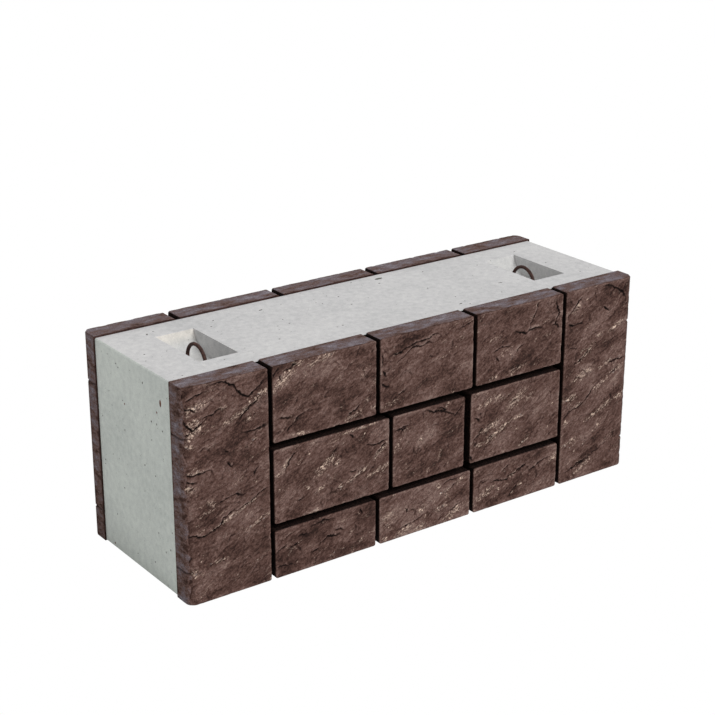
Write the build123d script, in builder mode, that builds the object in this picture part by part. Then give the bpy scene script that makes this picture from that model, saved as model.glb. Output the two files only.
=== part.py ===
"""A double-sided wall block: a concrete core with natural-stone facings on both long sides.

Frame: +X along the wall, +Y from the front facing to the back one, +Z up.
The origin is under the middle of the block, on the level that it stands on.  Millimetres.
"""
import os
from math import cos, radians, tan

from build123d import *

# The concrete core
core_length = 1491.0
core_width = 390.0
core_height = 585.0
core_arris = 3.0            # small chamfer along the edges of the two bare ends

# The facings: stones bedded on both long faces of the core, flush with its bottom
facing_thickness = 64.0
end_overhang = 4.5          # the facing stands past each end of the core
top_overhang = 5.0          # and above its top
upright_joint = 12.0        # open joint between two stones side by side
bed_joint = 19.0            # open joint between two courses
end_rounding = 25.0         # outer upright corner of the two tall end stones
stone_arris = 4.0           # broken edge round the face of every stone

# The pattern of one facing, seen from the front: two tall stones with three courses between them
left_stone_width = 245.5
right_stone_width = 259.0
bottom_course_height = 136.0
middle_course_height = 208.0             # the top course takes the rest of the height
bottom_course_widths = (321.5, 314.5)    # first two stones from the left; the third takes the rest
middle_course_widths = (365.5, 245.0)
top_course_widths = (322.0, 314.0)
middle_last_joint = 22.0                 # the right upright joint of the middle course is wider

# The two lifting pockets in the top of the core, each a trough with upright ends
pocket_margin = 131.5       # from each end of the core to its pocket
pocket_width = 115.0        # along the block, between the upright ends
pocket_mouth = 224.0        # across the block, at the top
pocket_depth = 57.0
pocket_draft = 28.0         # lean of the two sloping sides, in degrees from upright
pocket_rounding = 80.0      # where the sloping sides run into the floor
rounding_share = 0.95       # most of a side or of half the floor that the rounding may take up

# The lifting loops: round bar bent to an arch, its legs cast into the core
bar_diameter = 10.0
loop_span = 92.0            # between the middles of the legs
leg_embedment = 110.0       # below the pocket floor

# Sizes that follow
facing_length = core_length + 2 * end_overhang
facing_height = core_height + top_overhang
facing_left = -facing_length / 2
facing_right = facing_length / 2
course_left = facing_left + left_stone_width + upright_joint
course_right = facing_right - right_stone_width - upright_joint
middle_course_foot = bottom_course_height + bed_joint
middle_course_top = middle_course_foot + middle_course_height
top_course_foot = middle_course_top + bed_joint
pocket_middle = core_length / 2 - pocket_margin - pocket_width / 2
pocket_floor = core_height - pocket_depth
floor_half = pocket_mouth / 2 - pocket_depth * tan(radians(pocket_draft))
slope_length = pocket_depth / cos(radians(pocket_draft))
widest_rounding = rounding_share * min(floor_half, slope_length) / tan(radians(90 - pocket_draft) / 2)
floor_rounding = min(pocket_rounding, widest_rounding)
loop_radius = loop_span / 2
loop_crown = facing_height - bar_diameter / 2     # the loops reach no higher than the facings
loop_spring = loop_crown - loop_radius
leg_foot = pocket_floor - leg_embedment

os.makedirs("parts", exist_ok=True)


def save(part, name):
    part.label = name
    export_step(part, f"parts/{name}.step")


def course(row, foot, top, first_two, last_joint=upright_joint):
    """Name, left, right, foot and top of the three stones of one course."""
    first, second = first_two
    first_right = course_left + first
    second_left = first_right + upright_joint
    second_right = second_left + second
    third_left = second_right + last_joint
    spans = ((course_left, first_right), (second_left, second_right), (third_left, course_right))
    return [(f"{row}_stone_{i}", left, right, foot, top) for i, (left, right) in enumerate(spans, 1)]


def make_stone(left, right, foot, top):
    """One stone of the front facing; a stone at an end of the block has its outer corner rounded."""
    with BuildPart() as stone:
        with BuildSketch(Plane.XY.offset(foot)) as plan:
            with Locations(((left + right) / 2, -core_width / 2)):
                Rectangle(right - left, facing_thickness, align=(Align.CENTER, Align.MAX))
            face_corners = plan.vertices().group_by(Axis.Y)[0].sort_by(Axis.X)
            if left == facing_left:
                fillet(face_corners[0], end_rounding)
            if right == facing_right:
                fillet(face_corners[-1], end_rounding)
        extrude(amount=top - foot)
        face_edges = stone.faces().sort_by(Axis.Y)[0].edges()
        broken_edges = face_edges.filter_by(Axis.X)
        if left != facing_left:
            broken_edges += face_edges.filter_by(Axis.Z).sort_by(Axis.X)[:1]
        if right != facing_right:
            broken_edges += face_edges.filter_by(Axis.Z).sort_by(Axis.X)[-1:]
        chamfer(broken_edges, stone_arris)
    return stone.part


# Lifting loops
pocket_places = {"left": -pocket_middle, "right": pocket_middle}
loops = []
for side, place in pocket_places.items():
    with BuildPart() as loop:
        with BuildLine(Plane.YZ.offset(place)) as loop_path:
            Line((-loop_radius, leg_foot), (-loop_radius, loop_spring))
            ThreePointArc((-loop_radius, loop_spring), (0, loop_crown), (loop_radius, loop_spring))
            Line((loop_radius, loop_spring), (loop_radius, leg_foot))
        with BuildSketch(Plane.XY.offset(leg_foot)):
            with Locations((place, -loop_radius)):
                Circle(bar_diameter / 2)
        sweep(path=loop_path.line)
    save(loop.part, f"{side}_lifting_loop")
    loops.append(loop.part)

# Concrete core with its pockets, cast round the legs of the loops
with BuildPart() as core:
    Box(core_length, core_width, core_height, align=(Align.CENTER, Align.CENTER, Align.MIN))
    chamfer(core.edges().filter_by(Axis.Y), core_arris)
    for place in pocket_places.values():
        with BuildSketch(Plane.YZ.offset(place)) as pocket_section:
            with BuildLine():
                Polyline(
                    (-pocket_mouth / 2, core_height),
                    (-floor_half, pocket_floor),
                    (floor_half, pocket_floor),
                    (pocket_mouth / 2, core_height),
                    close=True,
                )
            make_face()
            fillet(pocket_section.vertices().group_by(Axis.Y)[0], floor_rounding)
        extrude(amount=pocket_width / 2, both=True, mode=Mode.SUBTRACT)
    for loop_part in loops:
        add(loop_part, mode=Mode.SUBTRACT)
save(core.part, "concrete_core")

# Facing stones: the front ones, and the back facing as their mirror image
stones = [
    ("left_tall_stone", facing_left, facing_left + left_stone_width, 0.0, facing_height),
    ("right_tall_stone", facing_right - right_stone_width, facing_right, 0.0, facing_height),
    *course("bottom", 0.0, bottom_course_height, bottom_course_widths),
    *course("middle", middle_course_foot, middle_course_top, middle_course_widths, middle_last_joint),
    *course("top", top_course_foot, facing_height, top_course_widths),
]
for stone_name, left, right, foot, top in stones:
    front_stone = make_stone(left, right, foot, top)
    save(front_stone, f"front_{stone_name}")
    save(mirror(front_stone, about=Plane.XZ), f"back_{stone_name}")
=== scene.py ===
import math
import random

import bpy
import numpy as np
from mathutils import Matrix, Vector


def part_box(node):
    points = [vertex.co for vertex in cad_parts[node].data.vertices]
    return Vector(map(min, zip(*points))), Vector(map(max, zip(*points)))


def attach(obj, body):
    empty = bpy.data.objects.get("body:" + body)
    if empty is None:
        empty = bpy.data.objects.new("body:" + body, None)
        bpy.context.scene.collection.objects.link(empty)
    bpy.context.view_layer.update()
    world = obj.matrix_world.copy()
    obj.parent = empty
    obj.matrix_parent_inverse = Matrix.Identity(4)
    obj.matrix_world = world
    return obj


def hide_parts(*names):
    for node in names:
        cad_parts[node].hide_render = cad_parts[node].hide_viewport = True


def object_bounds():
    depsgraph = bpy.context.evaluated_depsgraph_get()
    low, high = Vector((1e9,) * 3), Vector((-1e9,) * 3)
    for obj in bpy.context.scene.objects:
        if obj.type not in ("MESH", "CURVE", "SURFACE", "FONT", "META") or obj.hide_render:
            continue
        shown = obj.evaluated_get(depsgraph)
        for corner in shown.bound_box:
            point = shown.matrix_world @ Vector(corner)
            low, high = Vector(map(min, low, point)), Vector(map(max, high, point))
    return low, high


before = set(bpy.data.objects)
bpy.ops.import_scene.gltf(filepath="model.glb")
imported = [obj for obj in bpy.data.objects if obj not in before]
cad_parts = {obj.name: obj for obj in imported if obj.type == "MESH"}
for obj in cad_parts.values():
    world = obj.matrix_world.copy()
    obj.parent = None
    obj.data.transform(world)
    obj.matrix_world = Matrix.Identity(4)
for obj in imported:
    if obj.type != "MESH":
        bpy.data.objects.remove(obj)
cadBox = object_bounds()
scene = bpy.context.scene
mm = 0.001
print("frame loaded:", len(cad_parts), "nodes")


# Small helpers

def deselectAll():
    bpy.ops.object.select_all(action="DESELECT")


def makeActive(piece):
    deselectAll()
    piece.select_set(True)
    bpy.context.view_layer.objects.active = piece


def linear(colour):
    # a colour as the eye names it, 0 to 255, for a shader socket
    shares = [level / 255 for level in colour]
    return (*(c / 12.92 if c < 0.0404 else ((c + 0.055) / 1.055) ** 2.4 for c in shares), 1)


def readPoints(mesh):
    flat = np.empty(len(mesh.vertices) * 3)
    mesh.vertices.foreach_get("co", flat)
    return flat.reshape(-1, 3)


def writePoints(mesh, points):
    mesh.vertices.foreach_set("co", points.ravel())
    mesh.update()


def paintPoints(mesh, name, values):
    layer = mesh.attributes.new(name, "FLOAT", "POINT")
    layer.data.foreach_set("value", np.asarray(values, np.float32))


# Noise for the carving, with the curves that shape it

latticeKeys = {"x": 73856093, "y": 19349663, "seed": 83492791, "stir": 1274126177}
latticeMask = 0x7FFFFFFF
latticeTurns = 4096                  # directions that the noise can slope in


def latticeNoise(x, y, seed):
    cellX, cellY = np.floor(x).astype(np.int64), np.floor(y).astype(np.int64)
    fx, fy = x - cellX, y - cellY
    easeX, easeY = [f ** 3 * (f * (f * 6 - 15) + 10) for f in (fx, fy)]
    total = np.zeros_like(fx)
    for dx in (0, 1):
        for dy in (0, 1):
            key = (cellX + dx) * latticeKeys["x"] ^ (cellY + dy) * latticeKeys["y"]
            key = (key ^ seed * latticeKeys["seed"]) & latticeMask
            key = (key ^ key >> 13) * latticeKeys["stir"] & latticeMask
            angle = ((key ^ key >> 15) % latticeTurns) * (math.tau / latticeTurns)
            slope = np.cos(angle) * (fx - dx) + np.sin(angle) * (fy - dy)
            total += slope * (easeX if dx else 1 - easeX) * (easeY if dy else 1 - easeY)
    return total * 1.5


def layeredNoise(x, y, octaves, seed, gain=0.5):
    total, height = np.zeros_like(x), 1.0
    for octave in range(octaves):
        total += height * latticeNoise(x * 2 ** octave, y * 2 ** octave, seed + 17 * octave)
        height *= gain
    return total


def ease(low, high, value):
    # 0 up to low, 1 from high on, and a smooth step between
    t = np.clip((value - low) / (high - low), 0, 1)
    return t * t * (3 - 2 * t)


def hump(gap, half):
    # 1 where the gap is 0, falling away over the half width
    return np.exp(-(gap / half) ** 2)


def soften(grid, passes):
    for _ in range(passes):
        wide = np.pad(grid, 1, mode="edge")
        grid = (grid * 2 + wide[:-2, 1:-1] + wide[2:, 1:-1] + wide[1:-1, :-2] + wide[1:-1, 2:]) / 6
    return grid


# Shader nodes

def newMaterial(name):
    material = bpy.data.materials.new(name)
    material.use_nodes = True
    tree = material.node_tree
    return material, tree, tree.nodes["Principled BSDF"]


def feed(tree, sockets, values):
    # each socket takes a link from another one, or a plain value
    for socket, value in zip(sockets, values):
        if isinstance(value, bpy.types.NodeSocket):
            tree.links.new(value, socket)
        else:
            socket.default_value = value


def setSockets(tree, node, **values):
    feed(tree, [node.inputs[name.replace("_", " ")] for name in values], values.values())


def addNode(tree, kind, settings=None, **values):
    node = tree.nodes.new(kind)
    for key, value in (settings or {}).items():
        setattr(node, key, value)
    setSockets(tree, node, **values)
    return node


def placeOf(tree):
    return addNode(tree, "ShaderNodeTexCoord").outputs["Object"]


def axesOf(tree, vector):
    return addNode(tree, "ShaderNodeSeparateXYZ", Vector=vector).outputs


def mapped(tree, vector, **values):
    return addNode(tree, "ShaderNodeMapping", Vector=vector, **values).outputs[0]


def attributeOf(tree, name):
    return addNode(tree, "ShaderNodeAttribute", {"attribute_name": name}).outputs["Fac"]


def noiseOf(tree, vector, scale, detail=4.0, rough=0.55):
    node = addNode(tree, "ShaderNodeTexNoise", Vector=vector, Scale=scale, Detail=detail, Roughness=rough)
    return node.outputs["Fac"]


def rampOf(tree, factor, stops):
    # a stop has its place and its tone: a level of grey, or a colour as the eye names it
    node = addNode(tree, "ShaderNodeValToRGB", Fac=factor)
    ramp = node.color_ramp
    while len(ramp.elements) < len(stops):
        ramp.elements.new(0.5)
    for element, (place, tone) in zip(ramp.elements, stops):
        element.position = place
        element.color = linear(tone) if isinstance(tone, tuple) else (tone, tone, tone, 1)
    return node.outputs["Color"]


def mixColour(tree, factor, first, second, blend="MIX"):
    node = addNode(tree, "ShaderNodeMix", {"data_type": "RGBA", "blend_type": blend})
    feed(tree, (node.inputs[0], node.inputs[6], node.inputs[7]), (factor, first, second))
    return node.outputs[2]


def multiplied(tree, first, second, share=1.0):
    return mixColour(tree, share, first, second, "MULTIPLY")


def mathOf(tree, operation, first, second=0.0, third=0.0, clamp=False):
    node = addNode(tree, "ShaderNodeMath", {"operation": operation, "use_clamp": clamp})
    feed(tree, node.inputs, (first, second, third))
    return node.outputs[0]


def sumOf(tree, start, shares):
    # start plus a share of how far each other value stands from its middle, a half
    total = start
    for value, share in shares:
        shift = mathOf(tree, "MULTIPLY_ADD", value, share, -share / 2)
        total = mathOf(tree, "ADD", total, shift)
    return total


def bumpsOf(tree, *layers):
    # bumps laid over one another: the height of each, its strength and its reach in mm
    under = {}
    for height, strength, reach in layers:
        bump = addNode(tree, "ShaderNodeBump", Height=height, Strength=strength, Distance=reach * mm, **under)
        under = {"Normal": bump.outputs[0]}
    return under["Normal"]


def stretchedPlace(tree, dip, stretch):
    # object coordinates as looked at from the front or the back, turned and drawn out along the strata
    axes = axesOf(tree, placeOf(tree))
    facing = mathOf(tree, "SIGN", axes["Y"])
    mirrored = mathOf(tree, "MULTIPLY", axes["X"], facing)
    rightwards = mathOf(tree, "MULTIPLY", mirrored, -1.0)
    looked = addNode(tree, "ShaderNodeCombineXYZ", X=rightwards, Y=axes["Y"], Z=axes["Z"]).outputs[0]
    turned = mapped(tree, looked, Rotation=(0, math.radians(dip), 0))
    return mapped(tree, turned, Scale=(1 / stretch, 1, 1))


# The stone of the facings: cleft in front, with smooth cast faces round it

stoneLook = {
    "dip": 28,            # degrees, lie of the strata as looked at
    "grainStretch": 1.7,  # how far the grain is drawn out along them
    "dashStretch": 1.8,
    "fleckStretch": 1.6,
    "browns": [(0.24, (38, 26, 23)), (0.39, (62, 44, 39)), (0.51, (83, 62, 56)),
               (0.64, (102, 81, 75)), (0.80, (126, 106, 98))],
    "grit": [(0.32, 0.56), (0.5, 1.0), (0.70, 1.44)],
    "skins": [(0.36, (56, 39, 34)), (0.475, (94, 73, 67)), (0.64, (106, 96, 100)), (0.78, (132, 125, 131))],
    "skinGrit": [(0.32, 0.42), (0.5, 1.0), (0.70, 1.6)],
    "gritShare": 0.9,
    "topGreyAndSkyLight": 0.055,    # how much greyer and lighter a top face is than an end: partly the cast skin, partly painted light from the sky
    "rimShare": -0.10,    # and how much browner both are along their edges
    # painted highlights: the colours of the glints on the broken ledges
    "beigeGlint": (212, 187, 169),
    "blueGlint": (172, 178, 180),
    # painted shade: the darkness in cracks, in hairlines and between the lit ledges
    "crackShade": (14, 9, 8),
    # painted shade: the side faces in the open joints, near black
    "joints": [(0.40, (6, 3, 3)), (0.66, (41, 27, 23))],
    "bedding": [(0.3, (38, 25, 23)), (0.7, (74, 54, 50))],
}


def cleftColour(tree, fine, grit, strata, plain):
    # browns by the grain and the tone of the carving, lighter on its ridges and darker in its hollows as
    # painted light and shade, with hairlines painted dark in patches
    shade = sumOf(tree, mathOf(tree, "MULTIPLY_ADD", fine, 0.86, 0.07), [
        (noiseOf(tree, strata, 14.0), 0.28),
        (attributeOf(tree, "tone"), 0.53),
        (attributeOf(tree, "ridge"), 0.27),
    ])
    colour = rampOf(tree, shade, stoneLook["browns"])
    colour = multiplied(tree, colour, rampOf(tree, grit, stoneLook["grit"]), stoneLook["gritShare"])
    vein = rampOf(tree, noiseOf(tree, strata, 21.0, 8.0, 0.62), [(0.488, 0), (0.5, 1), (0.512, 0)])
    veinPatch = rampOf(tree, noiseOf(tree, plain, 7.5, 2.0), [(0.48, 0), (0.60, 0.7)])
    return mixColour(tree, multiplied(tree, vein, veinPatch), colour, linear(stoneLook["crackShade"]))


def addLedgeLightAndShade(tree, colour, band, dash, plain):
    # bands of broken ledges: painted highlights as short light dashes along the strata, with painted shadows
    # as dark ones between
    shadow = rampOf(tree, dash, [(0.37, 0.75), (0.47, 0)])
    colour = mixColour(tree, multiplied(tree, shadow, band), colour, linear(stoneLook["crackShade"]))
    glint = mathOf(tree, "MULTIPLY_ADD", band, 0.16, dash)
    glint = rampOf(tree, glint, [(0.58, 0), (0.68, 0.27), (0.82, 0.62)])
    flecks = stretchedPlace(tree, stoneLook["dip"], stoneLook["fleckStretch"])
    fleck = mathOf(tree, "MULTIPLY_ADD", band, 0.12, noiseOf(tree, flecks, 135.0, 2.0, 0.5))
    fleck = rampOf(tree, fleck, [(0.68, 0), (0.77, 0.85)])
    inBand = mathOf(tree, "MULTIPLY", band, 4.0, clamp=True)
    glint = multiplied(tree, mathOf(tree, "MAXIMUM", glint, fleck), inBand)
    bluish = rampOf(tree, noiseOf(tree, plain, 90.0, 1.0), [(0.66, 0), (0.76, 1)])
    light = mixColour(tree, bluish, linear(stoneLook["beigeGlint"]), linear(stoneLook["blueGlint"]))
    return mixColour(tree, glint, colour, light), glint


def addCracks(tree, colour, plain):
    # the carved cracks, ragged at the edges and of uneven width, painted dark as their shade
    ragged = mathOf(tree, "MULTIPLY_ADD", noiseOf(tree, plain, 210.0, 4.0, 0.65), 0.62, -0.31)
    gap = mathOf(tree, "ABSOLUTE", mathOf(tree, "ADD", attributeOf(tree, "crackGap"), ragged))
    narrow = rampOf(tree, noiseOf(tree, plain, 48.0, 2.0), [(0.36, 0.45), (0.62, 1.5)])
    line = rampOf(tree, mathOf(tree, "MULTIPLY", gap, narrow), [(0.14, 1), (0.40, 0)])
    line = multiplied(tree, line, attributeOf(tree, "crackShare"))
    return mixColour(tree, line, colour, linear(stoneLook["crackShade"]))


def skinColour(tree, plain):
    # blotches along the top and across the ends, the tops greyer and lighter, partly as painted sky light
    normal = addNode(tree, "ShaderNodeTexCoord").outputs["Normal"]
    onTop = mathOf(tree, "ABSOLUTE", axesOf(tree, normal)["Z"])
    endBlotch = noiseOf(tree, mapped(tree, plain, Scale=(1, 0.4, 1)), 42.0, 9.0, 0.76)
    topBlotch = noiseOf(tree, mapped(tree, plain, Scale=(0.45, 1, 1)), 42.0, 9.0, 0.78)
    blotch = mathOf(tree, "MULTIPLY_ADD", mixColour(tree, onTop, endBlotch, topBlotch), 1.5, -0.25)
    shade = sumOf(tree, blotch, [
        (onTop, stoneLook["topGreyAndSkyLight"]),
        (attributeOf(tree, "rim"), stoneLook["rimShare"]),
    ])
    grit = rampOf(tree, noiseOf(tree, plain, 300.0, 4.0, 0.7), stoneLook["skinGrit"])
    return multiplied(tree, rampOf(tree, shade, stoneLook["skins"]), grit, stoneLook["gritShare"])


def makeFacingStone():
    material, tree, shader = newMaterial("facingStone")
    plain = placeOf(tree)
    strata = stretchedPlace(tree, stoneLook["dip"], stoneLook["grainStretch"])
    dashes = stretchedPlace(tree, stoneLook["dip"], stoneLook["dashStretch"])
    fine = noiseOf(tree, strata, 160.0, 6.0, 0.7)
    grit = noiseOf(tree, plain, 330.0, 3.0, 0.65)
    dash = noiseOf(tree, dashes, 300.0, 3.0, 0.6)
    band = attributeOf(tree, "glint")
    colour = cleftColour(tree, fine, grit, strata, plain)
    colour, glint = addLedgeLightAndShade(tree, colour, band, dash, plain)
    colour = addCracks(tree, colour, plain)
    colour = mixColour(tree, attributeOf(tree, "skin"), colour, skinColour(tree, plain))
    # painted shade: near black on the side faces in the joints and in the seams
    jointShadeTone = rampOf(tree, noiseOf(tree, plain, 260.0, 3.0), stoneLook["joints"])
    colour = mixColour(tree, attributeOf(tree, "jointShade"), colour, jointShadeTone)
    rough = rampOf(tree, glint, [(0.0, 0.95), (1.0, 0.6)])
    ledges = multiplied(tree, dash, band)
    bumps = bumpsOf(tree, (fine, 0.42, 4.5), (grit, 0.35, 1.6), (ledges, 0.6, 8))
    setSockets(tree, shader, Base_Color=colour, Roughness=rough, Specular_IOR_Level=0.07, Normal=bumps)
    return material


def makeBeddedFace():
    # the face of a stone that lies against the core
    material, tree, shader = newMaterial("beddedFace")
    colour = rampOf(tree, noiseOf(tree, placeOf(tree), 60.0), stoneLook["bedding"])
    setSockets(tree, shader, Base_Color=colour, Roughness=1.0, Specular_IOR_Level=0.0)
    return material


# The concrete

concreteLook = {
    "greys": [(0.30, (180, 180, 180)), (0.5, (194, 193, 193)), (0.68, (204, 203, 202))],
    "sand": [(0.3, 0.90), (0.5, 1.0), (0.7, 1.06)],
    "endTint": (1.01, 1.078, 1.014, 1),   # the two bare ends are a little green
    "slopeShadeTint": (0.95, 0.955, 0.94, 1),  # painted shade: the sloping sides of the pockets are a little darker
    "warmLightTint": (1.13, 1.09, 1.01, 1),   # painted light: a pale warm pool of light high up in the left one
    "wallLightTint": (1.18, 1.185, 1.185, 1),  # and painted light makes their upright ends, which lie in shade, pale
    "topLevel": 0.584,                    # metres up, where the pockets begin
    "warmLightFoot": 0.552,
    "warmLightTop": 0.574,
    "pocketMiddle": 0.5565,               # metres along the block
    "pocketHalf": 0.057,
    "pitShadeGrey": (104, 105, 98),
    "rust": (122, 74, 54),
    "endReach": 0.742,                    # metres along the block, where the ends begin
    "sideReach": 0.1946,                  # metres across it, where the bedding of the stones begins, and with it the painted shade of the joints
    # painted shade: near black, for the core seen deep in the joints between the stones
    "bedding": (10, 7, 6),
}


def pocketLightAndShade(tree, axes):
    # painted light and shade in the pockets: darker slopes, a warm pool of light high on the left one, paler
    # upright ends
    look = concreteLook
    warmLight = rampOf(tree, axes["Z"], [(look["warmLightFoot"], 0), (look["warmLightTop"], 1)])
    warmLight = mathOf(tree, "MULTIPLY", warmLight, mathOf(tree, "LESS_THAN", axes["X"], 0.0))
    fromMiddle = mathOf(tree, "ABSOLUTE", axes["X"])
    fromMiddle = mathOf(tree, "SUBTRACT", fromMiddle, look["pocketMiddle"])
    atWall = mathOf(tree, "GREATER_THAN", mathOf(tree, "ABSOLUTE", fromMiddle), look["pocketHalf"])
    tint = mixColour(tree, warmLight, look["slopeShadeTint"], look["warmLightTint"])
    return mixColour(tree, atWall, tint, look["wallLightTint"])


def makeConcrete():
    look = concreteLook
    material, tree, shader = newMaterial("castConcrete")
    plain = placeOf(tree)
    axes = axesOf(tree, plain)
    cloud = sumOf(tree, noiseOf(tree, plain, 55.0, 8.0, 0.72), [(noiseOf(tree, plain, 5.0), 0.45)])
    base = rampOf(tree, cloud, look["greys"])
    atEnd = mathOf(tree, "GREATER_THAN", mathOf(tree, "ABSOLUTE", axes["X"]), look["endReach"])
    atSide = mathOf(tree, "GREATER_THAN", mathOf(tree, "ABSOLUTE", axes["Y"]), look["sideReach"])
    inPocket = mathOf(tree, "LESS_THAN", axes["Z"], look["topLevel"])
    colour = mixColour(tree, inPocket, base, multiplied(tree, base, pocketLightAndShade(tree, axes)))
    colour = mixColour(tree, atEnd, colour, multiplied(tree, base, look["endTint"]))
    colour = multiplied(tree, colour, rampOf(tree, noiseOf(tree, plain, 330.0, 3.0, 0.6), look["sand"]))
    # painted shade: small dark dots for tiny air holes, where they are sparse
    dots = addNode(tree, "ShaderNodeTexVoronoi", Vector=plain, Scale=60.0).outputs["Distance"]
    dots = rampOf(tree, dots, [(0.05, 0.8), (0.13, 0)])
    sparse = rampOf(tree, noiseOf(tree, plain, 31.0, 1.0), [(0.57, 0), (0.64, 1)])
    colour = mixColour(tree, multiplied(tree, dots, sparse), colour, linear(look["pitShadeGrey"]))
    # painted shade: the sides behind the stones, seen only deep in the joints, are near black
    colour = mixColour(tree, atSide, colour, linear(look["bedding"]))
    bumps = bumpsOf(tree, (noiseOf(tree, plain, 240.0, 7.0, 0.68), 0.15, 1.8))
    setSockets(tree, shader, Base_Color=colour, Roughness=0.9, Specular_IOR_Level=0.15, Normal=bumps)
    return material


def makePitTone(name, colour):
    # one colour, darker in specks, for the inside of a pit: the painted shade of an air hole, and also a rust
    # mark
    material, tree, shader = newMaterial(name)
    specks = rampOf(tree, noiseOf(tree, placeOf(tree), 300.0), [(0.3, 0.6), (0.7, 1.0)])
    setSockets(tree, shader, Base_Color=multiplied(tree, specks, linear(colour)), Roughness=0.95)
    return material


# The steel of the lifting loops

loopLook = {"rusts": [(0.32, (34, 21, 18)), (0.55, (67, 45, 40)), (0.75, (96, 62, 50))]}


def makeLoopSteel():
    material, tree, shader = newMaterial("rustyBar")
    plain = placeOf(tree)
    colour = rampOf(tree, noiseOf(tree, plain, 130.0, 7.0, 0.7), loopLook["rusts"])
    bumps = bumpsOf(tree, (noiseOf(tree, plain, 700.0), 0.5, 0.8))
    setSockets(tree, shader, Base_Color=colour, Roughness=0.7, Specular_IOR_Level=0.2, Normal=bumps)
    return material


facingStone = makeFacingStone()
beddedFace = makeBeddedFace()
castConcrete = makeConcrete()
pitShade = makePitTone("pitShade", concreteLook["pitShadeGrey"])
rustMark = makePitTone("rustMark", concreteLook["rust"])
rustyBar = makeLoopSteel()
print("materials made")


# The marks on the front stones, in mm along X and up Z as the frame has them
#   dip: degrees, lie of the strata; tone: how light the stone is; sparkle: how strongly its glints shine
#   cracks: their routes
#   glints: bands of broken ledges with painted highlights, X and Z from and to, half width
#   glooms: dark bands, painted shade along cracks and hollows and darker stone elsewhere, the same and how
#       dark (below 0: how light)
#   patches: X and Z of the middle, half width, half height, how much lighter the stone is there

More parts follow.
